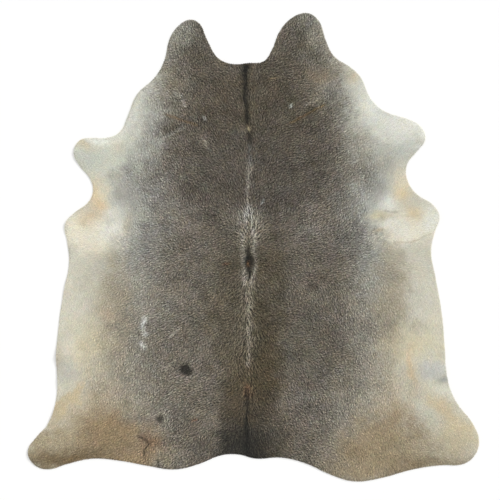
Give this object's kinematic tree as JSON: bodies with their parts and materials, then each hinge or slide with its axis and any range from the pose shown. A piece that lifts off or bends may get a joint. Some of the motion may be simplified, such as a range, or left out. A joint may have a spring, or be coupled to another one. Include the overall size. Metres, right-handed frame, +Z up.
{
  "type": "cowhide rug",
  "caption": "Whole cowhide rug with short grey-brown hair and cream belly edges, one thin soft sheet laid flat on a floor.",
  "frame": {"origin": "on the floor, under the middle of the hide's bounding box", "axes": "+Y along the spine towards the neck and its two cheek lobes, +X to the right as seen from above with the neck up, +Z up, out of the hair side"},
  "size_m": [2.075, 2.155, 0.0126],
  "materials": {
    "coat": "short hair lying flat, soft satin, with a matt suede underside"
  },
  "bodies": {
    "root": {"hide": "coat"}
  },
  "joints": []
}
